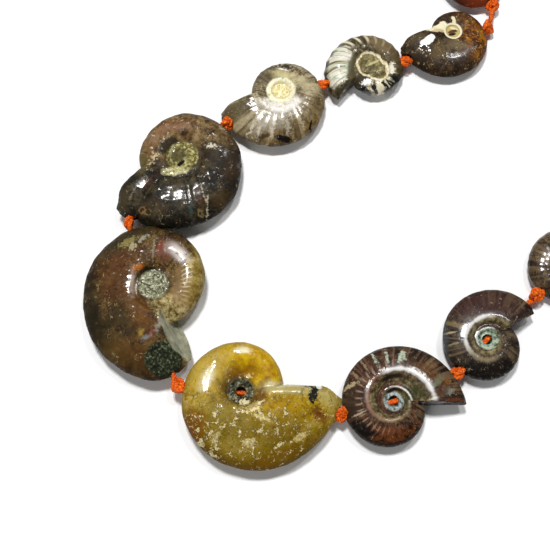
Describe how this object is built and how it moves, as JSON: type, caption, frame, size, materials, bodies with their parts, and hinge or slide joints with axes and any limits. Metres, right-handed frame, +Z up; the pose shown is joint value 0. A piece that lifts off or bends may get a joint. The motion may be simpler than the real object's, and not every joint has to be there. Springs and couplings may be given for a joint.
{
  "type": "ammonite fossil necklace",
  "caption": "Necklace of graduated polished ammonite fossils, drilled and strung on one cord knotted between them, lying in a closed loop.",
  "frame": {"origin": "on the surface the necklace lies on, under the middle of its bounding box", "axes": "+Z up, out of the surface; the largest fossils are at -X -Y and the closing knot is at +X +Y"},
  "size_m": [0.189, 0.1897, 0.011],
  "materials": {
    "fossil_chestnut": "polished fossil shell with a clear shine",
    "fossil_banded": "polished fossil shell with a clear shine",
    "fossil_silver": "polished fossil shell with a clear shine",
    "fossil_dark": "polished fossil shell with a clear shine",
    "fossil_brown": "polished fossil shell with a clear shine",
    "fossil_golden": "polished fossil shell with a clear shine",
    "fossil_maroon": "polished fossil shell with a clear shine",
    "fossil_ring": "polished fossil shell with a clear shine",
    "fossil_russet": "polished fossil shell with a clear shine",
    "fossil_back_umber": "polished fossil shell with a clear shine",
    "fossil_back_sand": "polished fossil shell with a clear shine",
    "fossil_back_bronze": "polished fossil shell with a clear shine",
    "cord": "matt twisted cord"
  },
  "bodies": {
    "root": {"ammonite_chestnut": "fossil_chestnut", "ammonite_banded": "fossil_banded", "ammonite_silver": "fossil_silver", "ammonite_dark": "fossil_dark", "ammonite_brown": "fossil_brown", "ammonite_golden": "fossil_golden", "ammonite_maroon": "fossil_maroon", "ammonite_ring": "fossil_ring", "ammonite_russet": "fossil_russet", "ammonite_back_01": "fossil_back_umber", "ammonite_back_02": "fossil_back_sand", "ammonite_back_03": "fossil_back_bronze", "ammonite_back_04": "fossil_back_umber", "ammonite_back_05": "fossil_back_sand", "ammonite_back_06": "fossil_back_bronze", "ammonite_back_07": "fossil_back_umber", "ammonite_back_08": "fossil_back_sand", "ammonite_back_09": "fossil_back_bronze", "cord": "cord"}
  },
  "joints": []
}
